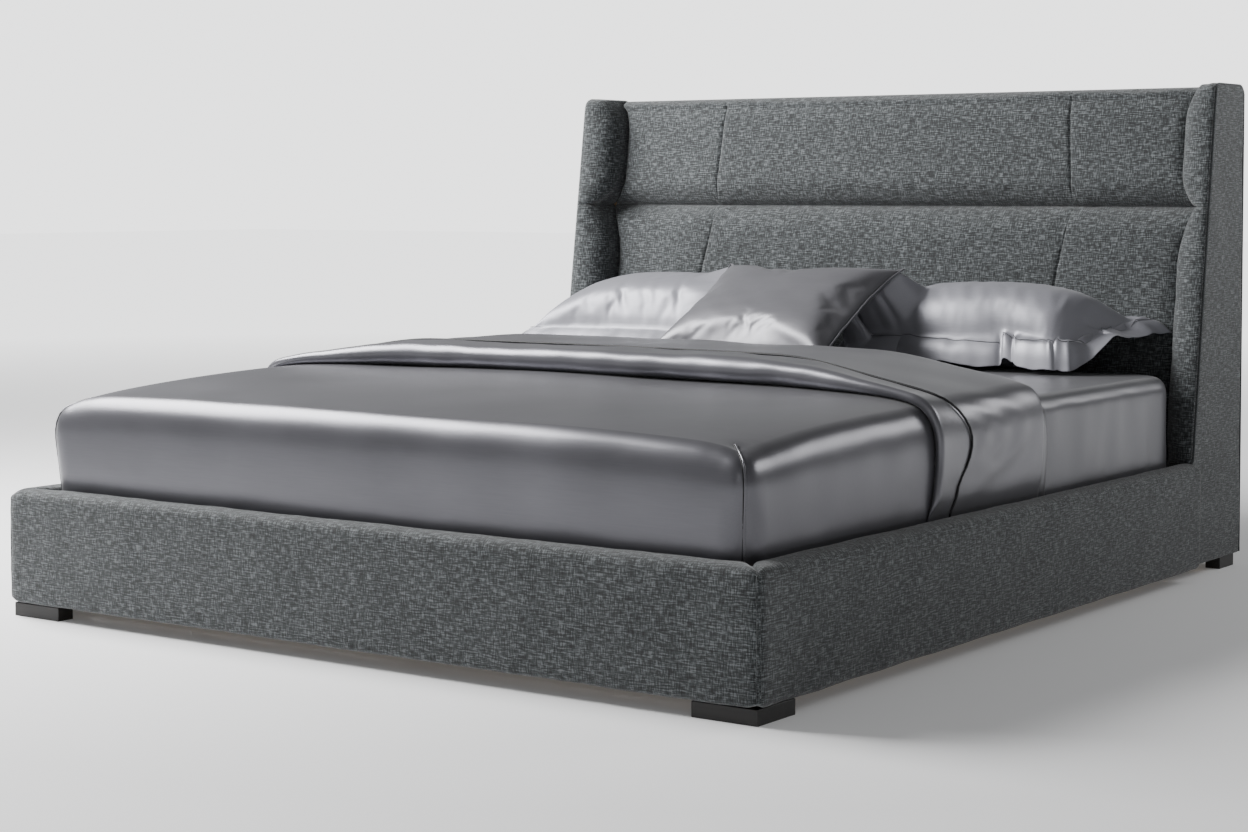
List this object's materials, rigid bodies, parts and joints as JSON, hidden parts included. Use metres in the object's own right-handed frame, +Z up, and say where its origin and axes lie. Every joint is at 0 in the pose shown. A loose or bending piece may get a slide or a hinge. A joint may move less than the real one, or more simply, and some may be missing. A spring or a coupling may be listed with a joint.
{
  "type": "upholstered headboard bed",
  "caption": "Wide low platform bed with a winged two-tier padded headboard, padded rails on low dark feet, a slatted base, mattress, satin duvet and pillows.",
  "frame": {"origin": "on the floor, under the middle of the bed's overall box", "axes": "+X across the bed towards its right side seen from the foot, +Y from the foot end to the headboard, +Z up"},
  "size_m": [2.09, 2.44, 1.28],
  "materials": {
    "tweed": "matte",
    "plywood": "matte",
    "pine": "matte",
    "wenge": "satin",
    "steel": "satin",
    "glide_plastic": "matte",
    "ticking": "matte",
    "sheet_satin": "satin",
    "duvet_satin": "satin",
    "turnback_satin": "satin",
    "pillow_satin": "satin",
    "throw_satin": "satin"
  },
  "bodies": {
    "bed_frame": {"beam_hanger_foot": "steel", "beam_hanger_head": "steel", "centre_beam": "pine", "centre_leg_1": "pine", "centre_leg_2": "pine", "corner_bolt_left": "steel", "corner_bolt_right": "steel", "corner_bracket_left": "steel", "corner_bracket_right": "steel", "foot_rail_core": "plywood", "foot_rail_cover": "tweed", "front_foot_left": "wenge", "front_foot_right": "wenge", "head_cross_rail": "plywood", "headboard_back_cover": "tweed", "headboard_cushion_lower": "tweed", "headboard_cushion_upper": "tweed", "headboard_face_board": "plywood", "headboard_stile_left": "pine", "headboard_stile_right": "pine", "headboard_top_rail": "pine", "joining_bolt_left": "steel", "joining_bolt_right": "steel", "joining_plate_left": "steel", "joining_plate_right": "steel", "rear_foot_left": "wenge", "rear_foot_right": "wenge", "side_rail_core_left": "plywood", "side_rail_core_right": "plywood", "side_rail_cover_left": "tweed", "side_rail_cover_right": "tweed", "slat_01": "pine", "slat_02": "pine", "slat_03": "pine", "slat_04": "pine", "slat_05": "pine", "slat_06": "pine", "slat_07": "pine", "slat_08": "pine", "slat_09": "pine", "slat_10": "pine", "slat_11": "pine", "slat_ledger_left": "pine", "slat_ledger_right": "pine", "wing_pad_lower_left": "tweed", "wing_pad_lower_right": "tweed", "wing_pad_upper_left": "tweed", "wing_pad_upper_right": "tweed", "wing_panel_left": "tweed", "wing_panel_right": "tweed"},
    "mattress": {"mattress": "ticking", "fitted_sheet": "sheet_satin", "duvet": "duvet_satin", "duvet_turnback": "turnback_satin"},
    "pillow_left": {"pillow_left": "pillow_satin"},
    "pillow_right": {"pillow_right": "pillow_satin"},
    "throw_pillow": {"throw_pillow": "throw_satin"},
    "levelling_glide_1": {"levelling_glide_1": "glide_plastic"},
    "levelling_glide_2": {"levelling_glide_2": "glide_plastic"}
  },
  "joints": [
    {"name": "mattress_lift", "type": "slide", "parent": "bed_frame", "child": "mattress", "axis": [0, 0, 1], "range_m": [0, 0.25]},
    {"name": "throw_pillow_lift", "type": "slide", "parent": "mattress", "child": "throw_pillow", "axis": [0, 0, 1], "range_m": [0, 0.3]},
    {"name": "pillow_left_lift", "type": "slide", "parent": "mattress", "child": "pillow_left", "axis": [0, 0, 1], "range_m": [0, 0.15]},
    {"name": "pillow_right_lift", "type": "slide", "parent": "mattress", "child": "pillow_right", "axis": [0, 0, 1], "range_m": [0, 0.15]},
    {"name": "glide_1_adjust", "type": "slide", "parent": "bed_frame", "child": "levelling_glide_1", "axis": [0, 0, 1], "range_m": [-0.01, 0.012]},
    {"name": "glide_2_adjust", "type": "slide", "parent": "bed_frame", "child": "levelling_glide_2", "axis": [0, 0, 1], "range_m": [-0.01, 0.012]}
  ],
  "couplings": [
    {"joint": "pillow_left_lift", "follows": "throw_pillow_lift", "ratio": 0.5},
    {"joint": "pillow_right_lift", "follows": "throw_pillow_lift", "ratio": 0.5}
  ]
}
